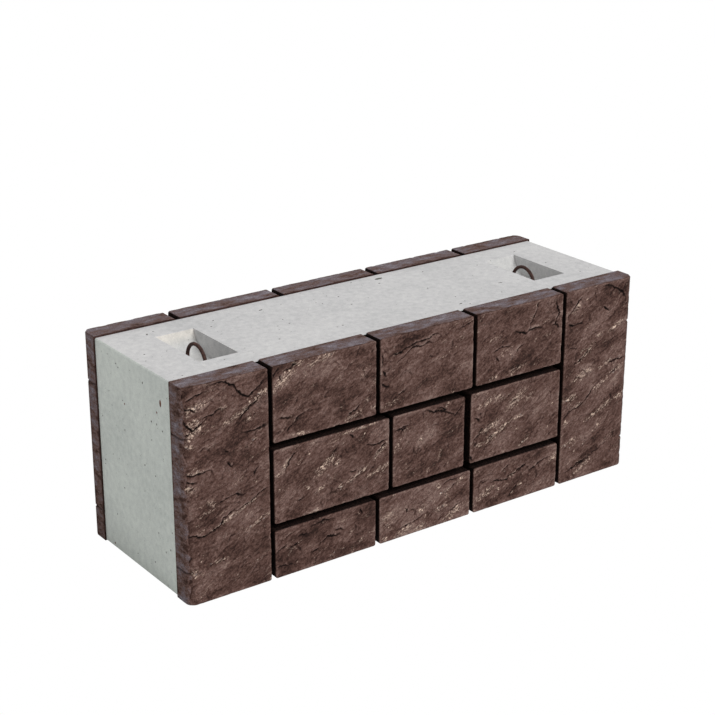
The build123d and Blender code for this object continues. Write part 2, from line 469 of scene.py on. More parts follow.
frontMarks = {
    "left_tall_stone": {
        "dip": 27, "seed": 11, "tone": -0.01, "sparkle": 0.95,
        "cracks": [
            [(-670, 583), (-640, 585), (-614, 577), (-594, 564), (-586, 550), (-568, 531), (-558, 526),
             (-539, 541), (-505, 567)],
            [(-725, 554), (-700, 564), (-673, 567)], [(-740, 534), (-715, 530), (-702, 520)],
            [(-689, 501), (-657, 503), (-638, 512), (-621, 515)],
            [(-728, 494), (-709, 472), (-698, 482), (-683, 492)],
            [(-742, 456), (-715, 470), (-689, 485), (-670, 498)],
            [(-585, 469), (-565, 492), (-552, 501), (-529, 521)],
            [(-575, 436), (-552, 433), (-529, 434), (-505, 440)], [(-624, 400), (-614, 390)],
            [(-617, 367), (-612, 352), (-601, 354)],
            [(-742, 354), (-716, 355), (-690, 357), (-670, 359), (-660, 353)], [(-735, 338), (-703, 334)],
            [(-548, 312), (-544, 322), (-536, 334)],
            [(-647, 262), (-630, 269), (-617, 270), (-591, 273), (-575, 267)],
            [(-742, 193), (-716, 191), (-696, 182), (-680, 187), (-650, 197), (-634, 216), (-614, 226),
             (-594, 229)],
            [(-594, 229), (-575, 234), (-558, 242), (-532, 259), (-506, 269)],
        ],
        "glints": [
            (-735, 520, -670, 540, 10), (-722, 484, -690, 500, 9), (-740, 448, -680, 482, 8),
            (-637, 465, -558, 500, 7), (-552, 512, -509, 533, 9), (-735, 436, -706, 432, 7),
            (-635, 513, -618, 517, 6), (-740, 362, -690, 364, 4), (-740, 325, -706, 315, 9),
            (-676, 275, -653, 259, 7), (-702, 233, -656, 256, 4), (-676, 190, -532, 250, 4),
            (-578, 164, -505, 197, 4), (-735, 88, -703, 84, 11), (-676, 100, -625, 106, 4),
            (-590, 309, -578, 313, 5), (-550, 408, -540, 412, 4),
        ],
        "glooms": [
            (-748, 538, -705, 535, 10, 0.12), (-728, 494, -705, 474, 5, 0.3),
            (-600, 410, -560, 425, 18, 0.14), (-625, 398, -600, 385, 8, 0.16),
            (-614, 370, -600, 355, 8, 0.16), (-565, 440, -505, 448, 9, 0.16),
            (-550, 480, -505, 472, 14, 0.1), (-650, 262, -630, 270, 5, 0.32),
            (-655, 197, -640, 206, 5, 0.32), (-745, 192, -720, 192, 5, 0.25),
            (-700, 215, -630, 243, 18, 0.09), (-548, 322, -537, 340, 5, 0.25),
            (-560, 300, -510, 325, 6, 0.12), (-640, 332, -610, 318, 5, 0.12),
            (-595, 562, -558, 528, 4, 0.2), (-550, 532, -510, 562, 8, 0.14),
            (-645, 180, -508, 238, 14, -0.13), (-690, 128, -560, 168, 13, -0.06),
            (-660, 150, -505, 196, 5, 0.1),
        ],
        "patches": [
            (-715, 300, 30, 45, 0.1), (-560, 190, 55, 40, 0.08), (-600, 395, 70, 35, -0.09),
            (-650, 150, 40, 25, -0.05), (-560, 545, 30, 20, 0.06),
        ],
    },
    "right_tall_stone": {
        "dip": 32, "seed": 23, "tone": 0.02, "sparkle": 0.95,
        "cracks": [
            [(497, 510), (513, 528), (533, 548), (547, 565)],
            [(503, 490), (527, 483), (550, 488), (557, 495)],
            [(620, 582), (650, 580), (673, 565), (700, 548), (713, 528)],
            [(633, 518), (642, 508), (653, 502)],
            [(503, 208), (527, 222), (560, 232), (583, 250), (607, 277), (633, 298)],
            [(653, 335), (672, 342), (693, 345), (725, 346)],
            [(533, 365), (552, 374), (567, 388), (580, 402)],
            [(513, 28), (540, 38), (573, 52), (607, 65), (637, 75), (660, 88)],
            [(560, 40), (590, 52), (615, 60)], [(667, 300), (690, 322)],
        ],
        "glints": [
            (540, 362, 600, 415, 6), (607, 428, 627, 442, 6), (653, 438, 707, 465, 7),
            (533, 315, 600, 342, 9), (500, 262, 540, 265, 8), (620, 330, 634, 334, 5),
            (667, 308, 707, 322, 7), (580, 175, 640, 205, 5), (630, 198, 676, 220, 8),
            (503, 178, 513, 195, 6), (496, 115, 553, 132, 6), (607, 262, 653, 295, 6),
            (540, 12, 605, 50, 6), (540, 232, 560, 240, 5), (715, 80, 725, 84, 5), (687, 222, 727, 235, 5),
            (520, 525, 545, 545, 6), (640, 340, 665, 350, 6),
        ],
        "glooms": [
            (545, 48, 625, 80, 9, 0.34), (525, 36, 560, 48, 5, 0.25), (640, 577, 702, 556, 11, 0.28),
            (690, 560, 712, 542, 8, 0.16), (690, 540, 728, 500, 20, 0.08), (575, 365, 622, 355, 9, 0.22),
            (640, 345, 728, 350, 5, 0.12), (640, 402, 655, 406, 10, 0.1), (560, 385, 582, 402, 4, 0.28),
            (500, 205, 513, 212, 4, 0.28), (560, 240, 598, 262, 5, 0.2), (605, 290, 635, 300, 4, 0.22),
            (650, 250, 700, 245, 12, 0.08), (505, 487, 550, 490, 4, 0.14), (500, 505, 540, 555, 5, 0.1),
        ],
        "patches": [
            (690, 560, 40, 35, -0.14), (640, 45, 60, 30, -0.1), (680, 130, 60, 40, -0.04),
            (580, 110, 60, 30, 0.05), (600, 220, 70, 25, 0.06), (540, 570, 40, 25, 0.08),
        ],
    },
    "top_stone_1": {
        "dip": 25, "seed": 31, "tone": -0.02, "sparkle": 0.85,
        "cracks": [
            [(-491, 560), (-482, 572), (-474, 582)], [(-456, 569), (-436, 575), (-417, 586)],
            [(-470, 558), (-462, 548)], [(-474, 445), (-455, 441), (-439, 442)],
            [(-452, 404), (-432, 420), (-417, 434), (-396, 443)], [(-256, 404), (-236, 412), (-222, 425)],
        ],
        "glints": [
            (-488, 525, -430, 565, 14), (-435, 580, -396, 582, 6), (-389, 562, -345, 580, 8),
            (-345, 578, -309, 583, 8), (-268, 387, -213, 410, 6), (-205, 428, -194, 433, 5),
            (-430, 392, -387, 388, 5), (-186, 400, -176, 412, 5),
        ],
        "glooms": [
            (-492, 584, -428, 582, 10, 0.3), (-492, 560, -478, 572, 8, 0.22),
            (-300, 475, -240, 488, 9, 0.12), (-265, 558, -215, 565, 12, 0.1),
            (-208, 582, -195, 545, 6, 0.12), (-195, 500, -170, 495, 14, 0.12),
            (-480, 446, -400, 440, 4, 0.16), (-420, 478, -398, 466, 4, 0.16),
            (-465, 395, -410, 435, 7, 0.09), (-250, 455, -220, 450, 8, 0.08),
            (-470, 525, -375, 562, 24, -0.12),
        ],
        "patches": [
            (-410, 540, 75, 30, 0.14), (-330, 475, 95, 18, -0.12), (-255, 483, 25, 12, -0.08),
            (-430, 430, 50, 25, -0.07), (-410, 392, 40, 10, 0.12), (-220, 500, 40, 15, -0.07),
            (-200, 460, 25, 25, 0.06),
        ],
    },
    "top_stone_2": {
        "dip": 22, "seed": 43, "tone": 0.02, "sparkle": 0.5,
        "cracks": [
            [(-155, 549), (-148, 532), (-154, 516)], [(-148, 499), (-139, 482)],
            [(-150, 466), (-143, 457), (-130, 451)],
            [(-121, 538), (-95, 541), (-65, 551), (-39, 556), (-4, 558), (12, 564), (35, 565), (44, 557)],
            [(-108, 512), (-82, 525), (-52, 545), (-26, 541), (5, 549), (18, 542)],
            [(118, 562), (134, 569), (150, 576)], [(-96, 420), (-78, 426)],
        ],
        "glints": [
            (-121, 404, -95, 408, 6), (50, 536, 62, 540, 4), (105, 532, 125, 544, 6),
            (-148, 396, -120, 404, 6),
        ],
        "glooms": [
            (-60, 562, -5, 566, 11, 0.14), (-152, 545, -148, 520, 6, 0.25), (-150, 500, -142, 482, 5, 0.25),
            (-150, 462, -132, 452, 4, 0.25), (20, 560, 45, 566, 5, 0.18), (115, 562, 150, 575, 4, 0.14),
            (-20, 495, -14, 500, 5, 0.12), (14, 489, 25, 482, 4, 0.12), (-120, 538, -50, 552, 4, 0.14),
        ],
        "patches": [
            (-20, 575, 45, 12, -0.08), (-120, 560, 30, 20, 0.06), (60, 520, 60, 30, 0.06),
            (-75, 480, 30, 25, 0.05), (100, 440, 40, 30, 0.03),
        ],
    },
    "top_stone_3": {
        "dip": 28, "seed": 57, "tone": -0.02, "sparkle": 0.65,
        "cracks": [
            [(303, 512), (318, 508), (332, 505), (347, 500), (356, 508), (380, 508), (404, 504)],
            [(387, 582), (381, 562), (373, 542), (360, 525), (353, 508)],
            [(457, 575), (459, 556), (467, 535), (453, 508), (467, 488)], [(240, 452), (250, 438)],
            [(307, 448), (322, 460), (340, 468)], [(227, 468), (260, 477), (287, 475)],
        ],
        "glints": [
            (280, 392, 347, 408, 6), (374, 470, 386, 474, 5), (206, 390, 245, 396, 5),
            (420, 475, 436, 480, 4),
        ],
        "glooms": [
            (205, 425, 245, 418, 13, 0.17), (305, 418, 360, 426, 13, 0.22), (300, 405, 340, 412, 6, 0.12),
            (310, 512, 350, 504, 4, 0.22), (360, 506, 430, 502, 5, 0.16), (358, 540, 374, 527, 7, 0.16),
            (450, 515, 462, 492, 4, 0.28), (455, 545, 464, 534, 4, 0.22), (240, 575, 290, 582, 6, 0.08),
        ],
        "patches": [
            (330, 440, 55, 30, -0.1), (235, 430, 35, 20, -0.07), (418, 532, 22, 14, 0.16),
            (290, 550, 60, 25, 0.05),
        ],
    },
    "middle_stone_1": {
        "dip": 30, "seed": 61, "tone": 0.02, "sparkle": 0.9,
        "cracks": [
            [(-200, 305), (-178, 300), (-165, 298), (-130, 303)],
            [(-178, 261), (-165, 270), (-152, 283), (-139, 294)], [(-456, 300), (-443, 322), (-426, 340)],
            [(-309, 309), (-291, 326)], [(-256, 348), (-239, 335)], [(-420, 200), (-400, 208)],
            [(-250, 242), (-232, 238)],
        ],
        "glints": [
            (-488, 286, -462, 301, 4), (-465, 303, -441, 328, 5), (-365, 257, -304, 298, 11),
            (-302, 272, -286, 282, 6), (-280, 326, -274, 331, 4), (-390, 327, -384, 331, 4),
            (-365, 207, -337, 226, 4), (-295, 198, -274, 213, 8), (-274, 208, -190, 245, 6),
            (-204, 209, -130, 231, 5), (-176, 257, -132, 296, 6), (-387, 159, -356, 161, 4),
            (-295, 357, -170, 358, 3), (-390, 228, -380, 234, 4),
        ],
        "glooms": [
            (-210, 322, -150, 302, 12, 0.13), (-260, 262, -205, 285, 16, 0.07),
            (-316, 307, -300, 322, 6, 0.18), (-500, 345, -440, 345, 14, 0.07),
            (-430, 255, -330, 235, 16, 0.05), (-255, 352, -240, 344, 5, 0.12),
        ],
        "patches": [
            (-470, 230, 30, 45, 0.07), (-260, 310, 60, 30, -0.05), (-170, 335, 35, 18, 0.06),
            (-225, 265, 40, 22, -0.06), (-330, 190, 60, 20, 0.05), (-200, 180, 60, 20, -0.04),
            (-430, 190, 40, 20, -0.05),
        ],
    },
    "middle_stone_2": {
        "dip": 24, "seed": 73, "tone": -0.01, "sparkle": 0.6,
        "cracks": [
            [(-111, 316), (-95, 319), (-74, 326), (-63, 326)], [(-87, 312), (-71, 321)],
            [(-4, 355), (22, 344), (39, 342), (66, 333), (79, 326), (100, 313)], [(39, 351), (66, 338)],
            [(96, 313), (110, 322), (122, 340)], [(-23, 272), (-20, 271)],
        ],
        "glints": [
            (-111, 255, -87, 292, 5), (-69, 277, -52, 270, 5), (-30, 270, -12, 275, 6),
            (-80, 308, -64, 316, 4),
        ],
        "glooms": [
            (-110, 318, -65, 326, 5, 0.18), (-92, 305, -70, 320, 4, 0.18), (92, 338, 115, 328, 13, 0.14),
            (60, 300, 80, 270, 20, 0.15), (50, 230, 60, 205, 15, 0.15), (-10, 195, -60, 180, 11, 0.17),
            (10, 350, 70, 332, 5, 0.12), (-75, 262, 0, 292, 26, -0.1),
        ],
        "patches": [
            (-40, 285, 65, 35, 0.16), (-30, 187, 60, 13, -0.14), (60, 290, 35, 40, -0.06),
            (40, 225, 60, 18, -0.05), (110, 220, 15, 40, 0.07), (-20, 340, 70, 12, -0.03),
        ],
    },
    "middle_stone_3": {
        "dip": 31, "seed": 87, "tone": 0.07, "sparkle": 1.0,
        "cracks": [
            [(155, 208), (170, 222), (187, 242)], [(168, 203), (178, 216)], [(173, 285), (187, 275)],
            [(154, 176), (160, 163)], [(205, 232), (225, 244)], [(300, 300), (318, 312)],
        ],
        "glints": [
            (200, 202, 300, 252, 8), (195, 238, 262, 264, 9), (172, 203, 200, 202, 5),
            (282, 285, 347, 330, 12), (347, 298, 380, 315, 5), (200, 315, 233, 338, 8),
            (240, 335, 273, 325, 7), (307, 248, 347, 262, 5), (327, 162, 367, 185, 4),
            (178, 310, 190, 318, 5),
        ],
        "glooms": [
            (166, 205, 195, 248, 4, 0.34), (155, 205, 166, 193, 5, 0.24), (170, 286, 188, 272, 4, 0.26),
            (150, 175, 158, 165, 5, 0.18), (425, 345, 450, 312, 28, 0.06), (440, 210, 470, 195, 18, 0.1),
            (400, 185, 440, 180, 14, 0.09), (305, 222, 340, 245, 8, 0.1), (300, 312, 325, 326, 5, 0.14),
            (345, 238, 472, 300, 24, -0.08),
        ],
        "patches": [
            (400, 265, 55, 35, 0.07), (440, 190, 35, 25, -0.05), (250, 180, 60, 15, 0.03),
            (300, 345, 100, 12, -0.03),
        ],
    },
    "bottom_stone_1": {
        "dip": 20, "seed": 95, "tone": -0.05, "sparkle": 0.55,
        "cracks": [
            [(-491, 73), (-470, 80), (-456, 86)], [(-448, 77), (-433, 78), (-420, 80)],
            [(-304, 82), (-291, 84), (-274, 78)], [(-352, 60), (-326, 71), (-287, 69)],
            [(-417, 101), (-396, 103)], [(-222, 121), (-213, 108)], [(-376, 43), (-356, 47)],
            [(-487, 30), (-439, 27)], [(-380, 118), (-340, 124), (-310, 121)],
        ],
        "glints": [
            (-252, 6, -243, 16, 6), (-226, 27, -208, 36, 6), (-282, 24, -274, 27, 4),
            (-252, 67, -244, 71, 4),
        ],
        "glooms": [
            (-490, 65, -455, 62, 11, 0.11), (-490, 76, -460, 88, 4, 0.14), (-455, 76, -418, 80, 4, 0.18),
            (-480, 105, -395, 104, 7, 0.12), (-376, 42, -355, 47, 7, 0.18), (-340, 65, -288, 70, 5, 0.14),
            (-302, 86, -270, 78, 5, 0.18), (-232, 110, -205, 118, 9, 0.16), (-250, 95, -225, 90, 12, 0.1),
            (-360, 12, -320, 18, 10, 0.1), (-290, 18, -270, 20, 8, 0.1), (-200, 128, -185, 128, 4, 0.12),
        ],
        "patches": [
            (-440, 122, 50, 12, 0.12), (-400, 60, 35, 22, 0.08), (-410, 100, 60, 8, -0.14),
            (-310, 72, 50, 12, -0.1), (-300, 25, 100, 20, -0.06), (-205, 45, 30, 25, 0.08),
            (-470, 50, 20, 30, -0.05),
        ],
    },
    "bottom_stone_2": {
        "dip": 28, "seed": 103, "tone": 0.15, "sparkle": 0.95,
        "cracks": [
            [(-95, 23), (-65, 27), (-34, 36), (-13, 45)], [(61, 119), (79, 125), (105, 125), (113, 130)],
            [(79, 95), (105, 108)], [(87, 29), (105, 38), (126, 47)], [(-67, 80), (-61, 68)],
        ],
        "glints": [
            (-152, 62, -113, 82, 7), (-139, 47, -121, 38, 6), (-69, 82, -60, 69, 5), (-26, 60, 0, 71, 7),
            (39, 112, 48, 121, 7), (52, 90, 83, 97, 6), (66, 79, 76, 82, 6), (39, 51, 74, 56, 5),
            (42, 41, 48, 46, 8), (-104, 6, -39, 27, 6), (-39, 8, 0, 16, 8), (66, 10, 126, 34, 9),
            (109, 108, 135, 121, 7), (-148, 8, -138, 10, 5),
        ],
        "glooms": [
            (-140, 125, -90, 125, 14, 0.07), (-40, 118, -15, 118, 10, 0.06), (-62, 29, -10, 45, 4, 0.16),
            (128, 72, 148, 58, 14, 0.1), (65, 14, 80, 22, 9, 0.07), (60, 120, 112, 128, 4, 0.12),
        ],
        "patches": [
            (-100, 110, 50, 20, -0.05), (110, 70, 40, 18, -0.1), (0, 100, 40, 20, 0.05),
            (-20, 20, 50, 15, 0.05),
        ],
    },
    "bottom_stone_3": {
        "dip": 28, "seed": 117, "tone": 0.03, "sparkle": 0.9,
        "cracks": [
            [(230, 80), (260, 76), (290, 70), (297, 78), (320, 84), (347, 98), (360, 101)],
            [(340, 88), (363, 102)], [(373, 75), (397, 82), (407, 92), (433, 98), (453, 98)],
            [(300, 15), (317, 32), (330, 42)], [(273, 102), (300, 112)], [(200, 82), (215, 86)],
        ],
        "glints": [
            (175, 28, 240, 62, 9), (207, 52, 247, 62, 7), (256, 46, 264, 50, 5), (300, 75, 320, 85, 5),
            (453, 85, 475, 98, 8), (175, 128, 193, 115, 5), (335, 36, 353, 48, 5),
        ],
        "glooms": [
            (306, 24, 330, 38, 9, 0.34), (250, 78, 275, 76, 3, 0.18), (290, 64, 340, 62, 7, 0.16),
            (350, 115, 365, 118, 7, 0.13), (375, 75, 400, 80, 4, 0.3), (405, 90, 445, 95, 3, 0.24),
            (430, 60, 440, 58, 6, 0.13), (260, 95, 290, 92, 6, 0.11), (204, 84, 216, 90, 4, 0.14),
            (325, 82, 362, 101, 4, 0.18), (305, 88, 325, 96, 4, 0.14),
        ],
        "patches": [
            (245, 65, 26, 10, 0.12), (260, 95, 60, 18, -0.06), (400, 55, 50, 25, 0.03),
            (310, 25, 15, 15, -0.12), (215, 45, 35, 20, 0.06),
        ],
    },
}


# The back has marks of its own, drawn by chance along the strata

backCut = {
    "firstSeed": 500,
    "seedStep": 40,
    "crackArea": 9500,  # mm2 of face to each crack
    "glintArea": 7000,
    "patchArea": 12000,
}


def stepFrom(place, lie, reach):
    return place[0] + math.cos(lie) * reach, place[1] + math.sin(lie) * reach


def backMarks(width, height, seed):
    dice = random.Random(seed)
    dip = dice.uniform(22, 34)
    marks = {"dip": dip, "seed": seed, "tone": dice.uniform(-0.05, 0.08), "sparkle": dice.uniform(0.5, 1.0)}
    marks |= {"cracks": [], "glints": [], "glooms": [], "patches": []}
    for _ in range(round(width * height / backCut["crackArea"])):
        route = [(dice.uniform(0.03, 0.75) * width, dice.uniform(0.06, 0.88) * height)]
        heading = dip + dice.uniform(-24, 4)
        for _ in range(dice.choice((1, 2, 2, 3, 5, 7))):
            lie = math.radians(heading + dice.uniform(-26, 26))
            route.append(stepFrom(route[-1], lie, dice.uniform(10, 26)))
        marks["cracks"].append(route)
    for _ in range(round(width * height / backCut["glintArea"])):
        start = (dice.uniform(0.02, 0.8) * width, dice.uniform(0.05, 0.85) * height)
        reach = dice.choice((8, 12, 40, 60, 90))
        lie = math.radians(dip + dice.uniform(-6, 8))
        marks["glints"].append((*start, *stepFrom(start, lie, reach), dice.uniform(4, 10)))
    for route in marks["cracks"]:
        marks["glooms"].append((*route[0], *route[1], dice.uniform(4, 11), dice.uniform(0.08, 0.32)))
    for _ in range(round(width * height / backCut["patchArea"])):
        x, z = dice.uniform(0, 1) * width, dice.uniform(0, 1) * height
        marks["patches"].append((x, z, dice.uniform(25, 70), dice.uniform(12, 35), dice.uniform(-0.12, 0.12)))
    return marks


# The relief of a cleft face

cleftCut = {
    "drift": 16,             # mm that the strata wander, along and across
    "sway": 12,
    "depth": 2.2,            # mm, mean depth of the face below the blank
    "swell": 1.6,            # mm, heights of the relief
    "beds": 0.9,
    "wrinkle": 0.6,
    "shelf": 1.2,
    "shelfWidth": 34,
    "ledge": 1.5,
    "wander": 3.2,           # mm that a crack strays from its route
    "jag": 2.2,
    "fineCrackArea": 4200,   # mm2 of face to each short crack
    "fineCrackShare": 0.32,  # how strong such a crack is beside a placed one
    "groove": 3.0,           # mm, depth of a placed crack
    "grooveHalf": 2.3,
    "lip": 1.2,              # mm, the stone above a crack stands out by this, and below it falls back
    "lipReach": 12,
    "streak": 0.25,          # how bright the chance glints are
}

# The noises in it: mm along and across the strata, octaves, gain, what is added to the stone's seed
cleftGrain = {
    "swell": (190, 105, 3, 0.5, 1),
    "beds": (74, 27, 4, 0.5, 2),
    "wrinkle": (40, 15, 4, 0.5, 3),
    "rough": (13, 9, 4, 0.62, 4),
    "shelf": (70, 45, 1, 0.5, 5),
    "shelfPatch": (75, 40, 1, 0.5, 6),
    "roughPatch": (60, 45, 2, 0.5, 7),
    "ledge": (17, 6, 3, 0.5, 10),
    "streak": (60, 16, 3, 0.5, 11),
    "tone": (90, 48, 4, 0.5, 12),
}


def distanceToRoute(u, v, route):
    # distance to a route, its signed side (above is positive) and how far along it, 0 to 1
    best = np.full(u.shape, 1e9)
    above = np.zeros_like(u)
    travel = np.zeros_like(u)
    lengths = [math.dist(a, b) for a, b in zip(route, route[1:])]
    gone = 0.0
    for a, b, length in zip(route, route[1:], lengths):
        dx, dy = (b[0] - a[0]) / length, (b[1] - a[1]) / length
        t = np.clip((u - a[0]) * dx + (v - a[1]) * dy, 0, length)
        gapX, gapY = u - a[0] - t * dx, v - a[1] - t * dy
        gap = np.hypot(gapX, gapY)
        near = gap < best
        best = np.where(near, gap, best)
        upright = 1 if dx >= 0 else -1
        above = np.where(near, np.sign((dx * gapY - dy * gapX) * upright), above)
        travel = np.where(near, (gone + t) / sum(lengths), travel)
        gone += length
    return best, above, travel


def fineCracks(x, z, marks):
    # short chance cracks between the placed ones
    dice = random.Random(marks["seed"])
    cracks = []
    for _ in range(round(np.ptp(x) * np.ptp(z) / cleftCut["fineCrackArea"])):
        place = [dice.uniform(x.min(), x.max()), dice.uniform(z.min(), z.max())]
        slant = dice.choice((dice.gauss(0, 14), dice.gauss(0, 14), dice.gauss(-60, 25)))
        lie = math.radians(marks["dip"] + slant)
        route = [tuple(place)]
        for _ in range(dice.randint(1, 3)):
            lie += dice.gauss(0, 0.5)
            place[0] += math.cos(lie) * dice.uniform(6, 15)
            place[1] += math.sin(lie) * dice.uniform(6, 15)
            route.append(tuple(place))
        cracks.append(route)
    return cracks


def alongStrata(u, v, dip, seed):
    lie = math.radians(dip)
    along = u * math.cos(lie) + v * math.sin(lie)
    across = v * math.cos(lie) - u * math.sin(lie)
    drift = cleftCut["drift"] * layeredNoise(along / 90, across / 80, 2, seed + 40)
    sway = cleftCut["sway"] * layeredNoise(along / 110, across / 75, 3, seed)
    return along + drift, across + sway


def carveFace(u, v, marks):
    # depth of the cleft face below the blank in mm, with its cracks, glint bands and tone
    cut, seed = cleftCut, marks["seed"]
    along, across = alongStrata(u, v, marks["dip"], seed)
    grain = {name: layeredNoise(along / length, across / breadth, octaves, seed + shift, gain)
             for name, (length, breadth, octaves, gain, shift) in cleftGrain.items()}
    shelf = across / cut["shelfWidth"] + 0.9 * grain["shelf"]
    shelfEdge = (shelf - np.floor(shelf)) * ease(-0.05, 0.4, grain["shelfPatch"])
    depth = cut["depth"] - cut["swell"] * grain["swell"] - cut["beds"] * grain["beds"]
    depth = depth - cut["wrinkle"] * (1 - np.abs(grain["wrinkle"])) + cut["shelf"] * shelfEdge
    depth += (0.2 + 0.4 * ease(-0.3, 0.4, grain["roughPatch"])) * grain["rough"]

    # cracks stray from their routes, so that they come out jagged
    strayU, strayV = [
        place + cut["wander"] * layeredNoise(u / 24, v / 24, 2, seed + shift)
        + cut["jag"] * layeredNoise(u / 9, v / 9, 2, seed + shift + 10)
        for place, shift in ((u, 8), (v, 9))
    ]
    cracks = [(route, 1.0) for route in marks["cracks"]]
    cracks += [(route, cut["fineCrackShare"]) for route in fineCracks(u, v, marks)]
    crackGap, crackShare = np.full_like(u, 1e3), np.zeros_like(u)
    for route, share in cracks:
        gap, above, travel = distanceToRoute(strayU, strayV, route)
        taper = share * (0.3 + 0.7 * ease(0, 0.2, travel) * ease(0, 0.25, 1 - travel))
        depth += cut["groove"] * taper * hump(gap, cut["grooveHalf"])
        depth -= above * cut["lip"] * taper * hump(gap, cut["lipReach"])
        near = gap < np.abs(crackGap)
        crackGap = np.where(near, gap * above, crackGap)
        crackShare = np.where(near, taper * (1 - ease(3, 6, gap)), crackShare)

    glint = np.zeros_like(u)
    for x, z, toX, toZ, half in marks["glints"]:
        gap, _, travel = distanceToRoute(strayU, strayV, [(x, z), (toX, toZ)])
        taper = 0.35 + 0.65 * ease(0, 0.25, travel) * ease(0, 0.25, 1 - travel)
        glint = np.maximum(glint, hump(gap, half) * taper * marks["sparkle"])
    depth += cut["ledge"] * glint * grain["ledge"]
    glint = np.maximum(glint, cut["streak"] * ease(0.3, 0.8, grain["streak"]))

    # painted highlight: the tone is lifted under the glint bands
    tone = 0.5 + 0.26 * grain["tone"] + marks["tone"] + 0.13 * glint
    # glooms: painted shade along cracks and hollows, and darker stone elsewhere
    for x, z, toX, toZ, half, share in marks["glooms"]:
        gap, _, _ = distanceToRoute(strayU, strayV, [(x, z), (toX, toZ)])
        tone -= share * hump(gap, half)
    for x, z, halfX, halfZ, shift in marks["patches"]:
        tone += shift * hump(strayU - x, halfX) * hump(strayV - z, halfZ)
    return depth, crackGap, crackShare, glint, tone


# The stones: a grid for the face, its border drawn back to the core, then carved point by point

stoneCut = {
    "frontStep": 2.3,    # mm between points on the front stones
    "backStep": 2.9,
    "wallRows": 9,
    "rowCrowding": 1.7,  # power that draws the wall rows together behind the face
    "arris": 1.7,        # mm, mean rounding of the face's edges
    "chip": 3.5,         # mm, more of it where an edge is chipped
    "corner": 6.5,       # mm, rounding of the face's corners
    "endCorner": 2.0,    # mm, the same at the outer ends
    "edgeBand": 20,      # mm, where the relief dies away towards the edges
    "endRounding": 25,   # mm, outer corner of the tall stones
    "skinTurn": 38,      # degrees of that corner that keep the smooth cast skin
    "skinWaver": 14,     # and how far its edge wanders
    "skinFade": 6,
    "jointWaver": 0.5,   # mm, unevenness of the side faces in the joints
    "outerWaver": {"left": 1.5, "right": 1.5, "bottom": 0, "top": 0.7},
    "seams": (453, 88),  # mm up the end faces, two level seams
    "seamDepth": 2.6,
    "seamHalf": 2.6,
    "seamEnd": 68,       # degrees round the corner, where the seams have run out
    "jointShadeEdge": 1.2,    # mm behind the face, over which the painted shade of a joint comes in
    "rim": 9,            # mm, browner edge of the cast faces
}

# What the material reads on the cast faces, where the carving doesn't reach
castTone = {"crackGap": 1, "crackShare": 0, "glint": 0, "ridge": 0.5, "tone": 0.5, "skin": 1}


def buildBlank(node, name, step):
    low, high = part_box(node)
    size = high - low
    middle = (low + high) / 2
    front = middle.y < 0
    columns, rows = round(size.x / mm / step), round(size.z / mm / step)
    deselectAll()
    bpy.ops.mesh.primitive_grid_add(
        x_subdivisions=columns, y_subdivisions=rows, size=1,
        location=(middle.x, low.y if front else high.y, middle.z),
        rotation=(math.pi / 2, 0, 0 if front else math.pi))
    piece = bpy.context.active_object
    piece.name = name
    piece.scale = (size.x, size.z, 1)
    bpy.ops.object.transform_apply(location=True, rotation=True, scale=True)
    piece.data.materials.append(facingStone)
    piece.data.materials.append(beddedFace)
    bpy.ops.object.mode_set(mode="EDIT")
    bpy.ops.mesh.select_mode(type="EDGE")
    bpy.ops.mesh.select_all(action="DESELECT")
    bpy.ops.mesh.select_non_manifold()
    inward = size.y / stoneCut["wallRows"] * (1 if front else -1)
    for _ in range(stoneCut["wallRows"]):
        bpy.ops.mesh.extrude_region_move(TRANSFORM_OT_translate={"value": (0, inward, 0)})
    bpy.ops.mesh.edge_face_add()                 # the bedded face against the core
    piece.active_material_index = 1
    bpy.ops.object.material_slot_assign()
    bpy.ops.mesh.select_all(action="SELECT")
    bpy.ops.mesh.normals_make_consistent(inside=False)
    bpy.ops.object.mode_set(mode="OBJECT")
    return piece, low, high, columns, rows


def outerEdges(low, high, front):
    # which edges of a stone, as looked at, are the outside of the block and not a joint
    ends = [low.x - cadBox[0].x < mm, cadBox[1].x - high.x < mm]
    left, right = ends if front else ends[::-1]
    bottom, top = low.z - cadBox[0].z < mm, cadBox[1].z - high.z < mm
    return {"left": left, "right": right, "bottom": bottom, "top": top}


